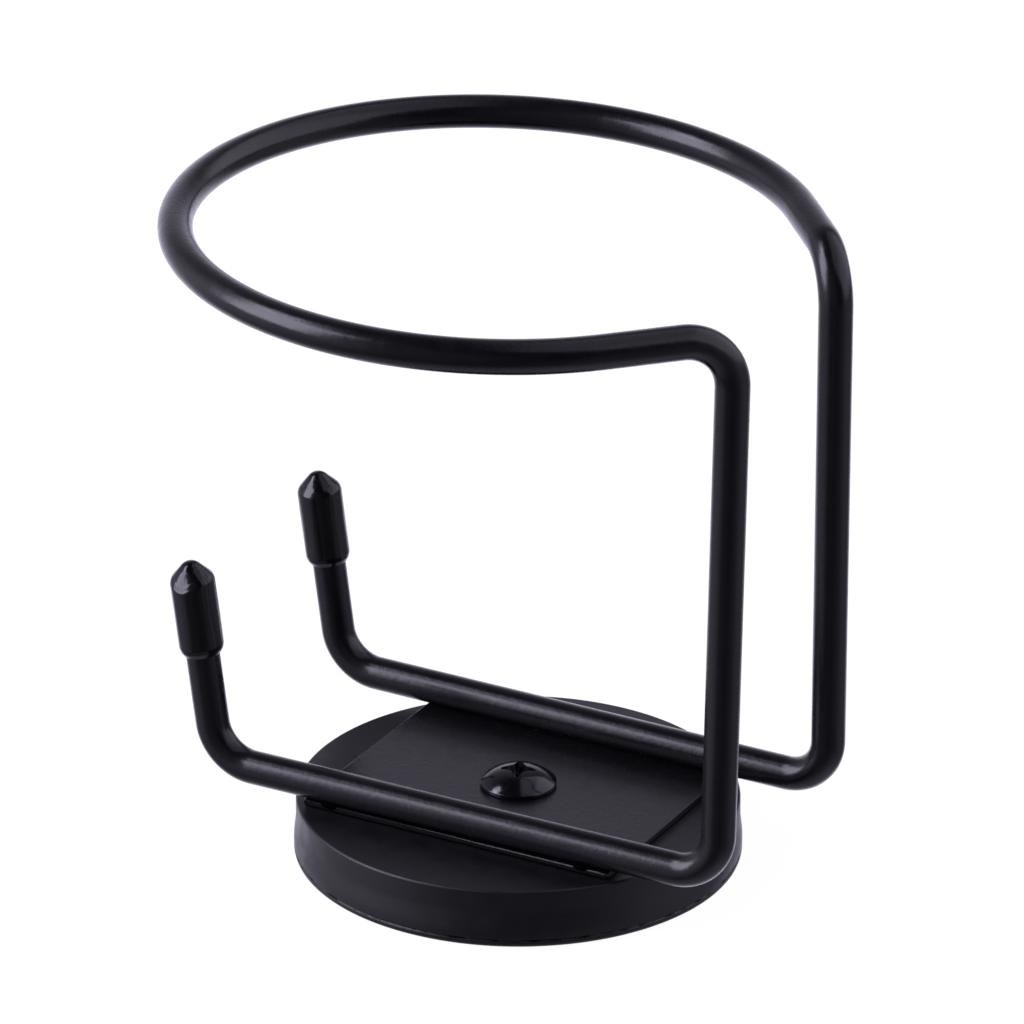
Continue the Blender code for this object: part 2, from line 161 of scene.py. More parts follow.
# The rubber jacket.
SHOULDER_RADIUS = 32.75 * MM
SHOULDER_HEIGHT = 5.3 * MM
SHOULDER_DROP = 2.8 * MM
PARTING_HEIGHT = 1.15 * MM
PARTING_DEPTH = 0.42 * MM
PARTING_WIDTH = 0.20 * MM
PARTING_FLOOR_SHARE = 0.6
PARTING_FLASH_SHARE = 0.8
PARTING_FLASH_SCALE = 3.0
PARTING_TEAR = 0.6 * MM
PARTING_TEAR_SCALE = 22.0
FLANK_BEND = 8.0 * MM
FLANK_WAVE = 0.03 * MM
FLANK_WAVE_SCALE = 2.2
FLANK_WAVE_HEIGHT = 6 * MM
FOOT_ROUNDING = 0.7 * MM
JACKET_MOUTH_RADIUS = 4.6 * MM
JACKET_FLOOR = 0.9 * MM
CAVITY_GAP = 0.1 * MM
JACKET_STEPS = 480
POCKET_STEPS = 48
MAGNET_COUNT = 10

# Edges sharper than the angle stay sharp in the shading. Faces thinner than a sliver are
# dissolved, and points in the same place are merged.
SHARP_ANGLE = math.radians(38)
SLIVER = 0.0005 * MM
SAME_PLACE = 0.001 * MM


# ---------------------------------------------------------------- geometry

def round_corners(corners, radii, steps):
    """The open line through the corners, with each inner corner replaced by an arc of its radius."""
    points = [corners[0]]
    for before, corner, after, radius in zip(corners, corners[1:], corners[2:], radii):
        if radius == 0:
            points.append(corner)
            continue
        towards_before = (before - corner).normalized()
        towards_after = (after - corner).normalized()
        half_angle = towards_before.angle(towards_after) / 2
        centre = corner + (towards_before + towards_after).normalized() * (radius / math.sin(half_angle))
        reach = radius / math.tan(half_angle)
        first = corner + towards_before * reach - centre
        last = corner + towards_after * reach - centre
        turn = first.angle(last)
        for step in range(steps + 1):
            share = step / steps
            weight_first = math.sin((1 - share) * turn) / math.sin(turn)
            weight_last = math.sin(share * turn) / math.sin(turn)
            points.append(centre + first * weight_first + last * weight_last)
    points.append(corners[-1])
    return points


def profile(corners, steps=6):
    """A turned profile as (radius, height) pairs, from (radius, height, corner rounding) triples."""
    places = [Vector((radius, 0.0, height)) for radius, height, _ in corners]
    roundings = [rounding for _, _, rounding in corners[1:-1]]
    return [(point.x, point.z) for point in round_corners(places, roundings, steps)]


def skin(name, rings):
    """A closed mesh object through rings of points. A ring of one point is a pole."""
    shape = bmesh.new()
    loops = [[shape.verts.new(point) for point in ring] for ring in rings]
    for upper, lower in zip(loops, loops[1:]):
        count = max(len(upper), len(lower))
        for i in range(count):
            j = (i + 1) % count
            corners = [upper[i % len(upper)], lower[i % len(lower)]]
            corners += [lower[j % len(lower)], upper[j % len(upper)]]
            shape.faces.new(list(dict.fromkeys(corners)))
    for loop in (loops[0], loops[-1]):
        if len(loop) > 1:
            shape.faces.new(loop)
    bmesh.ops.recalc_face_normals(shape, faces=shape.faces)
    mesh = bpy.data.meshes.new(name)
    shape.to_mesh(mesh)
    shape.free()
    mesh.shade_smooth()
    mesh.set_sharp_from_angle(angle=SHARP_ANGLE)
    obj = bpy.data.objects.new(name, mesh)
    bpy.context.scene.collection.objects.link(obj)
    return obj


def lathe(name, points, steps, shift=None):
    """A solid of revolution about Z. shift(angle, radius, height) may move each point."""
    rings = []
    for radius, height in points:
        if radius == 0:
            rings.append([Vector((0.0, 0.0, height))])
            continue
        ring = []
        for step in range(steps):
            angle = 2 * math.pi * step / steps
            r, z = shift(angle, radius, height) if shift else (radius, height)
            ring.append(Vector((r * math.cos(angle), r * math.sin(angle), z)))
        rings.append(ring)
    return skin(name, rings)


def apply_modifiers(obj):
    """Applies the object's modifiers to its mesh."""
    graph = bpy.context.evaluated_depsgraph_get()
    mesh = bpy.data.meshes.new_from_object(obj.evaluated_get(graph))
    mesh.name = obj.name
    obj.modifiers.clear()
    obj.data = mesh


def cut(obj, cutter):
    """Cuts the cutter out of the object, and removes the cutter."""
    boolean = obj.modifiers.new("Cut", "BOOLEAN")
    boolean.operation = "DIFFERENCE"
    boolean.object = cutter
    bpy.context.view_layer.update()
    apply_modifiers(obj)
    bpy.data.objects.remove(cutter)


def drop_slivers(obj):
    """Dissolves the faces without area that cuts and bevels leave behind."""
    shape = bmesh.new()
    shape.from_mesh(obj.data)
    bmesh.ops.dissolve_degenerate(shape, dist=SLIVER, edges=shape.edges)
    shape.to_mesh(obj.data)
    shape.free()


def even_normals(obj):
    """Shades round faces smooth and keeps the flat ones flat."""
    obj.data.shade_smooth()
    obj.data.set_sharp_from_angle(angle=SHARP_ANGLE)
    weighted = obj.modifiers.new("Normals", "WEIGHTED_NORMAL")
    weighted.keep_sharp = True
    weighted.weight = 80
    apply_modifiers(obj)


# ---------------------------------------------------------------- rod

def upright_top(ring_radius, ring_centre_x):
    """Where the line of an upright meets the line of its arm, in plan."""
    along = Vector((math.sin(RING_MOUTH_HALF_ANGLE), -math.cos(RING_MOUTH_HALF_ANGLE)))
    ring_end = ring_radius * Vector((math.cos(RING_MOUTH_HALF_ANGLE), math.sin(RING_MOUTH_HALF_ANGLE)))
    length = (ring_end.y - UPRIGHT_TOP_SPACING / 2) / -along.y
    return Vector((ring_centre_x + ring_end.x + length * along.x, UPRIGHT_TOP_SPACING / 2))


def rail_height():
    """The height of the rails' centreline, from the frame."""
    low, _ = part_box("bent_rod_frame")
    return low.z + ROD_RADIUS


def rail_y(x):
    """The distance of a rail's centreline from the XZ plane at a place along X."""
    share = (x - PRONG_X) / (UPRIGHT_X - PRONG_X)
    return (PRONG_SPACING + (FOOT_SPACING - PRONG_SPACING) * share) / 2


def prong_end(side):
    """The centre of a prong's end, on the side +1 or -1 of the XZ plane."""
    lean = (PRONG_TOP_HEIGHT - rail_height()) * math.tan(PRONG_LEAN)
    return Vector((PRONG_X - lean, side * PRONG_SPACING / 2, PRONG_TOP_HEIGHT))


def rod_centreline():
    """The whole rod: prong, rail, upright, arm, ring, and the same back on the other side."""
    low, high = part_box("bent_rod_frame")
    ring_radius = (high.y - low.y) / 2 - ROD_RADIUS
    ring_centre_x = low.x + ROD_RADIUS + ring_radius
    top = upright_top(ring_radius, ring_centre_x)
    far_rise = (top.x - ring_centre_x + ring_radius) * math.tan(RING_TILT)
    top_height = high.z - ROD_RADIUS - far_rise

    def ring_point(angle):
        x = ring_centre_x + ring_radius * math.cos(angle)
        return Vector((x, ring_radius * math.sin(angle), top_height + (top.x - x) * math.tan(RING_TILT)))

    corners = [
        prong_end(1),
        Vector((PRONG_X, PRONG_SPACING / 2, rail_height())),
        Vector((UPRIGHT_X, FOOT_SPACING / 2, rail_height())),
        Vector((top.x, top.y, top_height)),
        ring_point(RING_MOUTH_HALF_ANGLE),
    ]
    half = round_corners(corners, [BEND_RADIUS, BEND_RADIUS, TOP_BEND_RADIUS], BEND_STEPS)
    swept = 2 * (math.pi - RING_MOUTH_HALF_ANGLE)
    angles = [RING_MOUTH_HALF_ANGLE + swept * step / RING_STEPS for step in range(1, RING_STEPS)]
    ring = [ring_point(angle) for angle in angles]
    other_half = [Vector((point.x, -point.y, point.z)) for point in reversed(half)]
    return half + ring + other_half


def make_rod():
    """The bent rod, with chamfered ends inside the caps."""
    points = rod_centreline()
    start = (points[1] - points[0]).normalized()
    end = (points[-2] - points[-1]).normalized()
    points.insert(1, points[0] + start * ROD_END_CHAMFER)
    points.insert(-1, points[-1] + end * ROD_END_CHAMFER)
    rings = []
    side = Vector((0.0, 1.0, 0.0))
    for i, point in enumerate(points):
        tangent = (points[min(i + 1, len(points) - 1)] - points[max(i - 1, 0)]).normalized()
        side = (side - tangent * side.dot(tangent)).normalized()
        other = tangent.cross(side)
        radius = ROD_RADIUS - (ROD_END_CHAMFER if i in (0, len(points) - 1) else 0.0)
        ring = []
        for step in range(ROD_SIDES):
            angle = 2 * math.pi * step / ROD_SIDES
            ring.append(point + radius * (math.cos(angle) * side + math.sin(angle) * other))
        rings.append(ring)
    return skin("rod", rings)


# ---------------------------------------------------------------- plate and welds

def chamfer_front(shape, low, high):
    """Makes the front edge's roundings chamfers, and leans the sheared edge in at its foot.

    The upper chamfer is worn wider towards +X.
    """
    for vertex in shape.verts:
        inset = vertex.co.y - low.y
        top = vertex.co.z > (low.z + high.z) / 2
        drop = high.z - vertex.co.z if top else vertex.co.z - low.z
        if max(inset, drop) > PLATE_EDGE_REACH:
            continue
        worn = (vertex.co.x - PLATE_CRISP_X) / (PLATE_WORN_X - PLATE_CRISP_X)
        worn = min(1.0, max(0.0, worn)) ** 2 if top else 0.0
        width = PLATE_CHAMFER * (PLATE_CRISP_SHARE + (1 - PLATE_CRISP_SHARE) * worn)
        vertex.co.y = low.y + width * inset / (inset + drop)
        vertex.co.y += 0.0 if top else PLATE_SHEAR
        drop = width * drop / (inset + drop)
        vertex.co.z = high.z - drop if top else low.z + drop


def even_faces(shape, level):
    """Turns the edges of the flat face at a height, so that no triangle of it is a sliver."""

    def lies_flat(face):
        """Whether the whole face is at the height."""
        return all(abs(vertex.co.z - level) < SLIVER for vertex in face.verts)

    flat = [face for face in shape.faces if lies_flat(face)]
    inner = [edge for edge in shape.edges if sum(face in flat for face in edge.link_faces) == 2]
    bmesh.ops.beautify_fill(shape, faces=flat, edges=inner)


def circle(radius, steps):
    """The points of a circle about the origin, in plan."""
    angles = [2 * math.pi * step / steps for step in range(steps)]
    return [Vector((radius * math.cos(angle), radius * math.sin(angle), 0.0)) for angle in angles]


def plate_outline(low, high):
    """The plate's outline in plan, with more points along its front for the worn arris."""
    front = Vector((0.0, low.y, 0.0))
    corners = [front, Vector((high.x, low.y, 0)), Vector((high.x, high.y, 0))]
    corners += [Vector((low.x, high.y, 0)), Vector((low.x, low.y, 0)), front]
    outline = round_corners(corners, [PLATE_CORNER_ROUNDING] * 4, 6)[1:-1]
    start, end = outline[-1], outline[0]
    outline += [start.lerp(end, piece / PLATE_FRONT_PIECES) for piece in range(1, PLATE_FRONT_PIECES)]
    return outline


def sheet_mesh(outlines, thickness, rounding):
    """The mesh of a flat sheet inside the first outline and outside the others, with rounded edges."""
    curve = bpy.data.curves.new("sheet", "CURVE")
    curve.dimensions = "2D"
    curve.fill_mode = "BOTH"
    curve.extrude = thickness / 2 - rounding
    curve.bevel_depth = rounding
    curve.bevel_resolution = 3
    curve.offset = -rounding
    for points in outlines:
        spline = curve.splines.new("POLY")
        spline.points.add(len(points) - 1)
        spline.use_cyclic_u = True
        for control, point in zip(spline.points, points):
            control.co = (*point, 1.0)
    drawn = bpy.data.objects.new("sheet", curve)
    bpy.context.scene.collection.objects.link(drawn)
    graph = bpy.context.evaluated_depsgraph_get()
    mesh = bpy.data.meshes.new_from_object(drawn.evaluated_get(graph))
    bpy.data.objects.remove(drawn)
    return mesh


def make_plate():
    """The sheet-steel plate with its worn front arris and its screw hole."""
    low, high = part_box("mounting_plate")
    outlines = [plate_outline(low, high), circle(PLATE_HOLE_RADIUS, SCREW_STEPS)]
    mesh = sheet_mesh(outlines, high.z - low.z, PLATE_EDGE_ROUNDING)
    shape = bmesh.new()
    shape.from_mesh(mesh)
    bmesh.ops.remove_doubles(shape, verts=shape.verts, dist=SAME_PLACE)
    bmesh.ops.recalc_face_normals(shape, faces=shape.faces)
    bmesh.ops.translate(shape, vec=(0.0, 0.0, (low.z + high.z) / 2), verts=shape.verts)
    chamfer_front(shape, low, high)
    even_faces(shape, low.z)
    even_faces(shape, high.z)
    shape.to_mesh(mesh)
    shape.free()
    obj = bpy.data.objects.new("plate", mesh)
    bpy.context.scene.collection.objects.link(obj)
    drop_slivers(obj)
    even_normals(obj)
    return obj


def make_bead(name, node):
    """A lumpy weld bead, sunk into the rod and the plate beside it."""
    low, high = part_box(node)
    side = math.copysign(1.0, low.y)
    middle_x = (low.x + high.x) / 2
    _, plate_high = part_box("mounting_plate")
    outer = plate_high.y + BEAD_SPILL
    inner = rail_y(middle_x) - BEAD_SINK
    centre = Vector((middle_x, side * (outer + inner) / 2, (low.z + high.z) / 2))
    half = Vector(((high.x - low.x) / 2, (outer - inner) / 2, (high.z - low.z) / 2))
    rings = [[centre + Vector((half.x, 0.0, 0.0))]]
    for row in range(1, BEAD_STEPS):
        along = math.cos(math.pi * row / BEAD_STEPS)
        swell = math.sin(math.pi * row / BEAD_STEPS)
        ring = []
        for step in range(BEAD_STEPS):
            angle = 2 * math.pi * step / BEAD_STEPS
            way = Vector((along, swell * math.cos(angle), swell * math.sin(angle)))
            lump = BEAD_LUMPS * (noise.noise(way * BEAD_LUMP_SCALE + centre * 1000) - 1)
            ring.append(centre + Vector([(size + lump) * share for size, share in zip(half, way)]))
        rings.append(ring)
    rings.append([centre - Vector((half.x, 0.0, 0.0))])
    return skin(name, rings)


# ---------------------------------------------------------------- screw

def recess_ring(span, root, tip, web, height):
    """A cross of tapered arms in the plane at a height. root and tip are an arm's half widths."""
    ring = []
    for quarter in range(4):
        turn = Matrix.Rotation(quarter * math.pi / 2 + RECESS_ANGLE, 3, "Z")
        for x, y in ((span, -tip), (span, tip), (root + web, root), (root, root + web)):
            ring.append(turn @ Vector((x, y, height)))
    return ring


def soften_recess(screw, rim_top):
    """Rounds the recess's sharp edges, which all lie above the rim's top and away from the rim."""
    drop_slivers(screw)
    shape = bmesh.new()
    shape.from_mesh(screw.data)
    weight = shape.edges.layers.float.new("bevel_weight_edge")
    for edge in shape.edges:
        middle = (edge.verts[0].co + edge.verts[1].co) / 2
        inside = middle.z > rim_top and middle.xy.length < RECESS_REACH
        if inside and len(edge.link_faces) == 2 and edge.calc_face_angle() > RECESS_SHARP:
            edge[weight] = 1.0
    shape.to_mesh(screw.data)
    shape.free()
    bevel = screw.modifiers.new("Edges", "BEVEL")
    bevel.limit_method = "WEIGHT"
    bevel.width = RECESS_EDGE
    bevel.segments = 3
    apply_modifiers(screw)
    drop_slivers(screw)


def head_profile(radius, bottom, top):
    """The screw head's profile from its crown down to the shank: a dome over a short rim."""
    dome_height = top - bottom - HEAD_RIM
    dome = []
    for step in range(DOME_STEPS):
        share = step / DOME_STEPS
        dome.append((radius * share, top - dome_height * share**DOME_POWER))
    edge = profile(
        [
            dome[-1] + (0.0,),
            (radius, bottom + HEAD_RIM, HEAD_EDGE_ROUNDING),
            (radius, bottom, HEAD_EDGE_ROUNDING),
            (SHANK_RADIUS, bottom, 0.0),
        ]
    )
    return dome[:-1] + edge


def make_screw():
    """The truss-head screw: a dome with a cross recess over a threaded shank."""
    low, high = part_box("clamp_screw")
    _, plate_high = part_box("mounting_plate")
    head_bottom = plate_high.z + HEAD_GAP
    shank = []
    rows = round((head_bottom - low.z) / THREAD_PITCH * THREAD_ROWS_PER_TURN)
    for row in range(1, rows):
        shank.append((SHANK_RADIUS, head_bottom + (low.z - head_bottom) * row / rows))

    def thread(angle, radius, height):
        """Cuts the thread into the shank, and points its end."""
        if radius != SHANK_RADIUS:
            return radius, height
        phase = (height / THREAD_PITCH - angle / (2 * math.pi)) % 1.0
        groove = THREAD_DEPTH * (1 - abs(2 * phase - 1))
        below_head = min(1.0, (head_bottom - height) / THREAD_PITCH)
        point = max(0.0, SHANK_POINT - (height - low.z))
        return radius - groove * below_head - SHANK_POINT_SLOPE * point, height

    end_radius = SHANK_RADIUS - SHANK_POINT - SHANK_END_INSET
    head = head_profile((high.x - low.x) / 2, head_bottom, high.z)
    screw = lathe("screw", head + shank + [(end_radius, low.z), (0.0, low.z)], SCREW_STEPS, thread)
    recess = [recess_ring(*sizes, high.z - depth) for *sizes, depth in RECESS_LEVELS]
    cut(screw, skin("recess_cutter", recess))
    soften_recess(screw, head_bottom + HEAD_RIM)
    even_normals(screw)
    return screw


# ---------------------------------------------------------------- caps

def cap_profile():
    """The cap's profile, down its outside and up its bore, in short steps."""
    tip = CAP_OVERHANG
    mouth = tip - CAP_LENGTH
    corners = [
        (0.0, tip, 0.0),
        (CAP_TIP_RADIUS, tip, CAP_TIP_ROUNDING),
        (CAP_RADIUS, tip - CAP_CONE_HEIGHT, CAP_SHOULDER_ROUNDING),
        (CAP_RADIUS, mouth + CAP_TAPER_HEIGHT, 0.8 * MM),
        (CAP_TAPER_RADIUS, mouth + CAP_LIP_HEIGHT, 0.4 * MM),
        (CAP_LIP_RADIUS, mouth, 0.08 * MM),
        (CAP_BORE_RADIUS, mouth, 0.0),
        (CAP_BORE_RADIUS, tip - CAP_CONE_HEIGHT - CAP_WALL, 0.3 * MM),
        (CAP_TIP_RADIUS, tip - CAP_WALL, 0.3 * MM),
        (0.0, tip - CAP_WALL, 0.0),
    ]
    points = profile(corners, steps=10)
    sides = []
    for (r0, z0), (r1, z1) in zip(points, points[1:]):
        pieces = max(1, math.ceil(math.hypot(r1 - r0, z1 - z0) / CAP_STEP_LENGTH))
        for piece in range(pieces):
            sides.append((r0 + (r1 - r0) * piece / pieces, z0 + (z1 - z0) * piece / pieces))
    sides.append(points[-1])
    return sides


def make_cap(name, side, flat):
    """A dip-moulded cap: a blunt cone on a slightly uneven tube with a drawn-in mouth.

    flat is how far the shoulder is pressed down on its one flatter side.
    """
    shoulder_height = CAP_OVERHANG - CAP_CONE_HEIGHT
    seed = Vector((7.3, side * 4.1, 1.7))

    def uneven(angle, radius, height):
        """The dip leaves shallow runs down the wall, and the shoulder is flatter on one side."""
        if radius <= CAP_BORE_RADIUS + 0.01 * MM:
            return radius, height
        around = Vector((math.cos(angle), math.sin(angle), height / CAP_RUN_LENGTH))
        run = noise.noise(around * 1.6 + seed)
        pressed = max(0.0, math.cos(angle - CAP_FLAT_TOWARDS)) ** 4 * flat
        shoulder = max(0.0, 1 - abs(height - shoulder_height) / CAP_FLAT_REACH)
        return radius * (1 - CAP_SHRINK + CAP_RUN * run), height - pressed * shoulder

    cap = lathe(name, cap_profile(), CAP_STEPS, uneven)
    place = Matrix.Translation(prong_end(side)) @ Matrix.Rotation(-PRONG_LEAN, 4, "Y")
    cap.data.transform(place)
    return cap


# ---------------------------------------------------------------- jacket

def jacket_profile():
    """The jacket's profile: up its hollow, out over its top and down its flank to the foot."""
    _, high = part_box("rubber_jacket")
    yoke_low, yoke_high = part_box("steel_yoke_plate")
    _, bush_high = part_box("threaded_bush")
    bush_room = bush_high.x + CAVITY_GAP
    yoke_room = yoke_high.x + CAVITY_GAP
    return profile(
        [
            (0.0, JACKET_FLOOR, 0.0),
            (bush_room, JACKET_FLOOR, 0.0),
            (bush_room, yoke_low.z - CAVITY_GAP, 0.0),
            (yoke_room, yoke_low.z - CAVITY_GAP, 0.0),
            (yoke_room, yoke_high.z + CAVITY_GAP, 0.0),
            (JACKET_MOUTH_RADIUS, yoke_high.z + CAVITY_GAP, 0.0),
            (JACKET_MOUTH_RADIUS, high.z, 0.25 * MM),
            (SHOULDER_RADIUS - 3 * MM, high.z, 0.0),
            (SHOULDER_RADIUS, high.z, 0.4 * MM),
            (SHOULDER_RADIUS, SHOULDER_HEIGHT, FLANK_BEND),
            (high.x, SHOULDER_HEIGHT - SHOULDER_DROP, FLANK_BEND),
            (high.x, PARTING_HEIGHT + PARTING_WIDTH, 0.08 * MM),
            (high.x - PARTING_DEPTH, PARTING_HEIGHT, 0.06 * MM),
            (high.x, PARTING_HEIGHT - PARTING_WIDTH, 0.08 * MM),
            (high.x, 0.0, FOOT_ROUNDING),
            (high.x - 3 * MM, 0.0, 0.0),
            (0.0, 0.0, 0.0),
        ]
    )


def cut_pockets(jacket):
    """Cuts a pocket for each magnet, open to the yoke's room."""
    yoke_low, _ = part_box("steel_yoke_plate")
    shape = bmesh.new()
    for number in range(1, MAGNET_COUNT + 1):
        low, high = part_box(f"disc_magnet_{number:02d}")
        centre = (low + high) / 2
        radius = (high.x - low.x) / 2 + CAVITY_GAP
        bottom = low.z - CAVITY_GAP
        bmesh.ops.create_cone(
            shape,
            cap_ends=True,
            segments=POCKET_STEPS,
            radius1=radius,
            radius2=radius,
            depth=yoke_low.z - bottom,
            matrix=Matrix.Translation((centre.x, centre.y, (yoke_low.z + bottom) / 2)),
        )
    mesh = bpy.data.meshes.new("pockets")
    shape.to_mesh(mesh)
    shape.free()
    pockets = bpy.data.objects.new("pockets", mesh)
    bpy.context.scene.collection.objects.link(pockets)
    cut(jacket, pockets)


def make_jacket():
    """The rubber jacket: shoulder, parting line and rounded foot outside, hollow inside."""
    _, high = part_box("rubber_jacket")
    parting_floor = high.x - PARTING_FLOOR_SHARE * PARTING_DEPTH

    def moulded(angle, radius, height):
        """Shrinkage waves the flank a little, and flash fills the parting line here and there."""
        around = Vector((math.cos(angle), math.sin(angle), 0.0))
        if radius < SHOULDER_RADIUS - 1 * MM:
            return radius, height
        if abs(height - PARTING_HEIGHT) < PARTING_WIDTH and radius < parting_floor:
            flash = 0.5 + 0.5 * noise.noise(around * PARTING_FLASH_SCALE + Vector((9.0, 2.0, 4.0)))
            torn = max(0.0, noise.noise(around * PARTING_TEAR_SCALE + Vector((1.0, 5.0, 2.0))))
            filled = PARTING_FLASH_SHARE * PARTING_DEPTH * flash
            return radius + filled - PARTING_TEAR * torn, height
        place = around * FLANK_WAVE_SCALE + Vector((3.1, 0.7, height / FLANK_WAVE_HEIGHT))
        return radius + FLANK_WAVE * (noise.noise(place) - 1), height

    jacket = lathe("jacket", jacket_profile(), JACKET_STEPS, moulded)
    cut_pockets(jacket)
    drop_slivers(jacket)
    even_normals(jacket)
    return jacket


# ---------------------------------------------------------------- materials

class Surface:
    """A Principled material, and short calls for the nodes that vary it over the piece."""

    def __init__(self, name, **constants):
        self.material = bpy.data.materials.new(name)
        self.material.use_nodes = True
        self.tree = self.material.node_tree
        self.shader = self.tree.nodes["Principled BSDF"]
        self.coordinates = self.add("ShaderNodeTexCoord").outputs["Object"]
        for socket, value in constants.items():
            self.shader.inputs[socket.replace("_", " ")].default_value = value

    def add(self, kind, **settings):
        """A new node of that kind, with its settings."""
        node = self.tree.nodes.new(kind)
        for setting, value in settings.items():
            setattr(node, setting, value)
        return node

    def link(self, output, node, socket):
        """Links an output to a node's input."""
        self.tree.links.new(output, node.inputs[socket])

    def noise(self, size, detail=2.0, stretch=(1.0, 1.0, 1.0)):
        """Noise from 0 to 1 with features of about that size."""
        scaled = self.add("ShaderNodeVectorMath", operation="MULTIPLY")
        self.link(self.coordinates, scaled, 0)
        scaled.inputs[1].default_value = stretch
        texture = self.add("ShaderNodeTexNoise")
        texture.inputs["Scale"].default_value = 1.0 / size
        texture.inputs["Detail"].default_value = detail
        self.link(scaled.outputs[0], texture, "Vector")
        return texture.outputs["Fac"]

    def spread(self, value, low, high, to_low, to_high):
        """Maps low..high to to_low..to_high, and clamps it."""
        mapped = self.add("ShaderNodeMapRange", interpolation_type="SMOOTHSTEP")
        self.link(value, mapped, "Value")
        mapped.inputs["From Min"].default_value = low
        mapped.inputs["From Max"].default_value = high
        mapped.inputs["To Min"].default_value = to_low
        mapped.inputs["To Max"].default_value = to_high
        return mapped.outputs["Result"]

    def blend(self, factor, first, second):
        """A colour between two, by a factor. Each colour is a triple or an output."""
        node = self.add("ShaderNodeMix", data_type="RGBA")
        self.link(factor, node, 0)
        for socket, colour in ((6, first), (7, second)):
            if isinstance(colour, tuple):
                node.inputs[socket].default_value = (*colour, 1.0)
            else:
                self.link(colour, node, socket)
        return node.outputs[2]

    def colour(self, output):
        """Sets what gives the base colour."""
        self.link(output, self.shader, "Base Color")

    def roughness(self, output):
        """Sets what gives the roughness."""
        self.link(output, self.shader, "Roughness")

    def bump(self, height, depth):
        """Relief of that depth, on top of the relief so far."""
        node = self.add("ShaderNodeBump")
        node.inputs["Strength"].default_value = 1.0
        node.inputs["Distance"].default_value = depth
        self.link(height, node, "Height")
        before = self.shader.inputs["Normal"].links
        if before:
            self.link(before[0].from_socket, node, "Normal")
        self.link(node.outputs["Normal"], self.shader, "Normal")


def powder_coat():
    """Satin black powder coat: orange peel, fine grain, faint clouding and a few specks of dust."""
    coat = Surface("powder_coat", IOR=1.5)
    clouds = coat.noise(9 * MM, 3.0)
    base = coat.blend(clouds, (0.0045, 0.0043, 0.0052), (0.0085, 0.0080, 0.0095))
    specks = coat.spread(coat.noise(0.55 * MM, 1.0), 0.875, 0.90, 0.0, 1.0)
    coat.colour(coat.blend(specks, base, (0.10, 0.10, 0.11)))
    coat.roughness(coat.spread(coat.noise(2.5 * MM, 4.0), 0.2, 0.8, 0.21, 0.30))
    coat.bump(coat.noise(0.9 * MM, 1.5), 0.018 * MM)
    coat.bump(coat.noise(0.35 * MM, 1.0), 0.003 * MM)
    return coat.material


def weld_in_painted_shade():
    """The coat over a weld: dull and grainy, with a near-black colour and no specular reflection that
    paint the shade between the rod and the plate.
    """
    weld = Surface("weld_in_painted_shade", IOR=1.4, Specular_IOR_Level=0.0)
    clouds = weld.noise(0.8 * MM, 3.0)
    # Near-black colour: painted shade where the rod and the plate shadow the bead.
    weld.colour(weld.blend(clouds, (0.001, 0.001, 0.0011), (0.0035, 0.0032, 0.0035)))
    weld.roughness(weld.spread(weld.noise(0.5 * MM, 3.0), 0.2, 0.8, 0.7, 0.95))
    weld.bump(weld.noise(0.3 * MM, 3.0), 0.03 * MM)
    return weld.material


def moulded_rubber():
    """Matte black rubber: fine grain, soft blotches of bloom and a little dust."""
    rubber = Surface("rubber", IOR=1.56)
    bloom = rubber.noise(7 * MM, 4.0)
    base = rubber.blend(bloom, (0.0035, 0.0034, 0.0040), (0.0070, 0.0067, 0.0078))
    dust = rubber.spread(rubber.noise(0.45 * MM, 1.0), 0.80, 0.86, 0.0, 1.0)
    rubber.colour(rubber.blend(dust, base, (0.09, 0.09, 0.095)))
    rubber.roughness(rubber.spread(rubber.noise(3 * MM, 4.0), 0.2, 0.8, 0.38, 0.50))
    rubber.bump(rubber.noise(0.22 * MM, 3.0), 0.008 * MM)
    rubber.bump(rubber.noise(4 * MM, 2.0), 0.02 * MM)
    return rubber.material


def dipped_vinyl():
    """Glossy black vinyl: smooth, with long shallow runs from the dip and faint scuffs."""
    vinyl = Surface("vinyl", IOR=1.5)
    clouds = vinyl.noise(4 * MM, 2.0)
    vinyl.colour(vinyl.blend(clouds, (0.0025, 0.0025, 0.003), (0.005, 0.005, 0.006)))
    scuffs = vinyl.noise(1.4 * MM, 5.0, (1.0, 1.0, 0.25))
    vinyl.roughness(vinyl.spread(scuffs, 0.35, 0.75, 0.14, 0.28))
    vinyl.bump(vinyl.noise(1.3 * MM, 2.0, (1.0, 1.0, 0.10)), 0.08 * MM)
    vinyl.bump(vinyl.noise(0.5 * MM, 2.0), 0.002 * MM)
    return vinyl.material


def screw_lacquer():
    """Glossy black on steel, worn a touch brighter, with faint handling marks."""
    lacquer = Surface("screw_black", IOR=1.55)
    clouds = lacquer.noise(1.5 * MM, 3.0)
    lacquer.colour(lacquer.blend(clouds, (0.003, 0.003, 0.004), (0.007, 0.007, 0.009)))
    lacquer.roughness(lacquer.spread(lacquer.noise(0.8 * MM, 4.0), 0.3, 0.8, 0.10, 0.22))
    lacquer.bump(lacquer.noise(1.3 * MM, 2.0), 0.012 * MM)
    return lacquer.material


def zinc_plating():
    """Bright zinc with a fine turned grain and cloudy passivation."""
    zinc = Surface("zinc", Metallic=1.0)
    clouds = zinc.noise(3 * MM, 3.0)
    zinc.colour(zinc.blend(clouds, (0.55, 0.55, 0.54), (0.70, 0.70, 0.68)))
    zinc.roughness(zinc.spread(zinc.noise(1 * MM, 4.0), 0.2, 0.8, 0.25, 0.45))
    zinc.bump(zinc.noise(0.2 * MM, 2.0), 0.003 * MM)
    return zinc.material


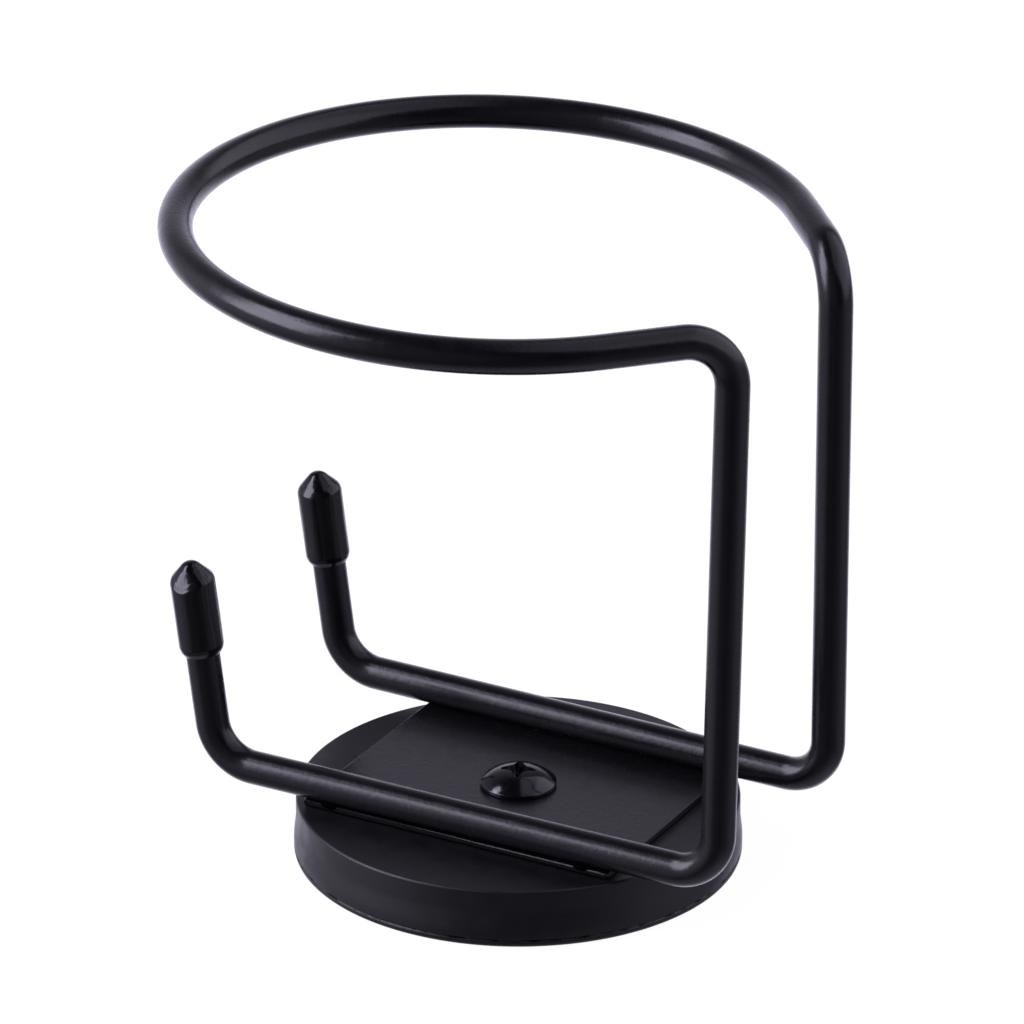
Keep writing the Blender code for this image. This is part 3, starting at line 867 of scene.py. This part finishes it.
def nickel_plating():
    """Smooth nickel with faint rub marks."""
    nickel = Surface("nickel", Metallic=1.0)
    clouds = nickel.noise(2 * MM, 2.0)
    nickel.colour(nickel.blend(clouds, (0.66, 0.63, 0.58), (0.75, 0.72, 0.67)))
    nickel.roughness(nickel.spread(nickel.noise(0.6 * MM, 4.0, (1.0, 0.2, 1.0)), 0.3, 0.8, 0.14, 0.3))
    nickel.bump(nickel.noise(0.4 * MM, 2.0), 0.002 * MM)
    return nickel.material


# ---------------------------------------------------------------- stage

LIGHT_TINT = (0.945, 0.912, 1.143)
FLOOR_GAP = 0.02 * MM
FLOOR_HALF_WIDTH = 6.0
FLOOR_GLOW = 0.96

# The surroundings: soft glows, each with its azimuth, elevation and radiance.
GLOW_EDGE = 0.55
GLOWS = (
    (-150, -25, 1.28),
    (-60, 0, 0.53),
    (0, -90, 0.41),
    (-120, 10, 0.24),
    (120, 0, 0.21),
    (90, -35, 0.17),
    (180, 20, 0.13),
    (0, 0, 0.12),
)

# The softboxes: name, azimuth, elevation, distance, width, height and radiance.
SOFTBOXES = (
    ("key", -50, 26, 0.95, 0.60, 0.81, 4.7),
    ("spark", -70, 50, 0.95, 0.24, 0.24, 4.5),
    ("fill", 122, 43, 0.95, 1.65, 1.70, 0.50),
    ("fill_low", 125, 29, 0.95, 1.65, 1.02, 0.38),
)

CAMERA_AZIMUTH = math.radians(28.61)
CAMERA_ELEVATION = math.radians(24.07)
CAMERA_ROLL = math.radians(0.09)
CAMERA_DISTANCE = 1.0343
CAMERA_LENS = 252.2
SENSOR_WIDTH = 36.0
CAMERA_TARGET = Vector((0.00042, -0.00282, 0.055))


def direction(azimuth, elevation):
    """The unit vector towards an azimuth and elevation, in radians."""
    flat = math.cos(elevation)
    return Vector((math.sin(azimuth) * flat, -math.cos(azimuth) * flat, math.sin(elevation)))


def add_softbox(name, azimuth, elevation, distance, width, height, radiance):
    """A rectangular soft light that faces the object, with the radiance of its face."""
    light = bpy.data.lights.new(name, "AREA")
    light.shape = "RECTANGLE"
    light.size = width
    light.size_y = height
    light.energy = radiance * math.pi * width * height
    light.color = LIGHT_TINT
    obj = bpy.data.objects.new(name, light)
    towards = direction(math.radians(azimuth), math.radians(elevation))
    obj.location = CAMERA_TARGET + towards * distance
    obj.rotation_euler = towards.to_track_quat("Z", "Y").to_euler()
    obj.visible_camera = False
    bpy.context.scene.collection.objects.link(obj)


def make_world():
    """Dim surroundings, brightest low down at the back on the left."""
    world = bpy.data.worlds.new("studio")
    world.use_nodes = True
    tree = world.node_tree
    background = tree.nodes["Background"]
    background.inputs["Color"].default_value = (*LIGHT_TINT, 1.0)
    coordinates = tree.nodes.new("ShaderNodeTexCoord")
    total = None
    for azimuth, elevation, radiance in GLOWS:
        dot = tree.nodes.new("ShaderNodeVectorMath")
        dot.operation = "DOT_PRODUCT"
        tree.links.new(coordinates.outputs["Generated"], dot.inputs[0])
        dot.inputs[1].default_value = direction(math.radians(azimuth), math.radians(elevation))
        glow = tree.nodes.new("ShaderNodeMapRange")
        glow.interpolation_type = "SMOOTHSTEP"
        tree.links.new(dot.outputs["Value"], glow.inputs["Value"])
        glow.inputs["From Min"].default_value = GLOW_EDGE
        glow.inputs["To Max"].default_value = radiance
        if total is None:
            total = glow.outputs["Result"]
            continue
        add = tree.nodes.new("ShaderNodeMath")
        tree.links.new(total, add.inputs[0])
        tree.links.new(glow.outputs["Result"], add.inputs[1])
        total = add.outputs[0]
    tree.links.new(total, background.inputs["Strength"])
    bpy.context.scene.world = world


def make_floor():
    """A plain pale floor. It isn't seen in the object's reflections."""
    mesh = bpy.data.meshes.new("floor")
    shape = bmesh.new()
    bmesh.ops.create_grid(shape, x_segments=1, y_segments=1, size=FLOOR_HALF_WIDTH)
    shape.to_mesh(mesh)
    shape.free()
    floor = bpy.data.objects.new("floor", mesh)
    floor.location.z = cad_low.z - FLOOR_GAP
    bpy.context.scene.collection.objects.link(floor)
    paper = bpy.data.materials.new("paper")
    paper.use_nodes = True
    shader = paper.node_tree.nodes["Principled BSDF"]
    shader.inputs["Base Color"].default_value = (0.12, 0.12, 0.10, 1.0)
    shader.inputs["Roughness"].default_value = 1.0
    shader.inputs["Specular IOR Level"].default_value = 0.0
    shader.inputs["Emission Color"].default_value = (1.0, 1.0, 1.0, 1.0)
    shader.inputs["Emission Strength"].default_value = FLOOR_GLOW
    mesh.materials.append(paper)
    floor.visible_glossy = False
    floor.visible_diffuse = False


def make_camera():
    """The camera, at the object's own view."""
    data = bpy.data.cameras.new("camera")
    data.lens = CAMERA_LENS
    data.sensor_width = SENSOR_WIDTH
    data.clip_start = 0.05
    data.clip_end = 30.0
    camera = bpy.data.objects.new("camera", data)
    back = direction(CAMERA_AZIMUTH, CAMERA_ELEVATION)
    camera.location = CAMERA_TARGET + back * CAMERA_DISTANCE
    upright = back.to_track_quat("Z", "Y").to_matrix()
    camera.rotation_euler = (upright @ Matrix.Rotation(CAMERA_ROLL, 3, "Z")).to_euler()
    bpy.context.scene.collection.objects.link(camera)
    bpy.context.scene.camera = camera


# ---------------------------------------------------------------- assembly

def add_piece(obj, body, slot, material, *nodes):
    """Gives a finished piece its material and its body, and hides the CAD nodes it stands for. Its slot
    is not used.
    """
    obj.data.materials.clear()
    obj.data.materials.append(material)
    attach(obj, body)
    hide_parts(*nodes)


def dress_cad_nodes():
    """Gives the hidden metal pieces, which stay as the CAD made them, their platings."""
    zinc = zinc_plating()
    nickel = nickel_plating()
    for name, node in frame["nodes"].items():
        if name in ("steel_yoke_plate", "threaded_bush"):
            node.data.materials.clear()
            node.data.materials.append(zinc)
        if name.startswith("disc_magnet_"):
            node.data.materials.clear()
            node.data.materials.append(nickel)


def make_pieces():
    """Builds every visible piece on its body."""
    coat = powder_coat()
    add_piece(make_rod(), "frame", "powder_coat", coat, "bent_rod_frame")
    add_piece(make_plate(), "frame", "powder_coat", coat, "mounting_plate")
    # The beads' material paints the shade between the rod and the plate as a near-black colour.
    weld = weld_in_painted_shade()
    for node in frame["record"]["behaviour"]["bodies"]["frame"]:
        if node.startswith("weld_bead_"):
            piece = make_bead(node.replace("weld_bead", "weld"), node)
            add_piece(piece, "frame", "powder_coat", weld, node)
    add_piece(make_screw(), "screw", "screw_black", screw_lacquer(), "clamp_screw")
    vinyl = dipped_vinyl()
    front_cap = make_cap("front_cap", -1, FRONT_CAP_FLAT)
    add_piece(front_cap, "front_cap", "vinyl", vinyl, "front_prong_cap")
    rear_cap = make_cap("rear_cap", 1, REAR_CAP_FLAT)
    add_piece(rear_cap, "rear_cap", "vinyl", vinyl, "rear_prong_cap")
    add_piece(make_jacket(), "base", "rubber", moulded_rubber(), "rubber_jacket")


def main():
    """Builds the pieces, then the stage around them."""
    make_pieces()
    dress_cad_nodes()
    make_floor()
    make_world()
    for softbox in SOFTBOXES:
        add_softbox(*softbox)
    make_camera()
    bpy.context.scene.view_settings.view_transform = "Standard"


main()
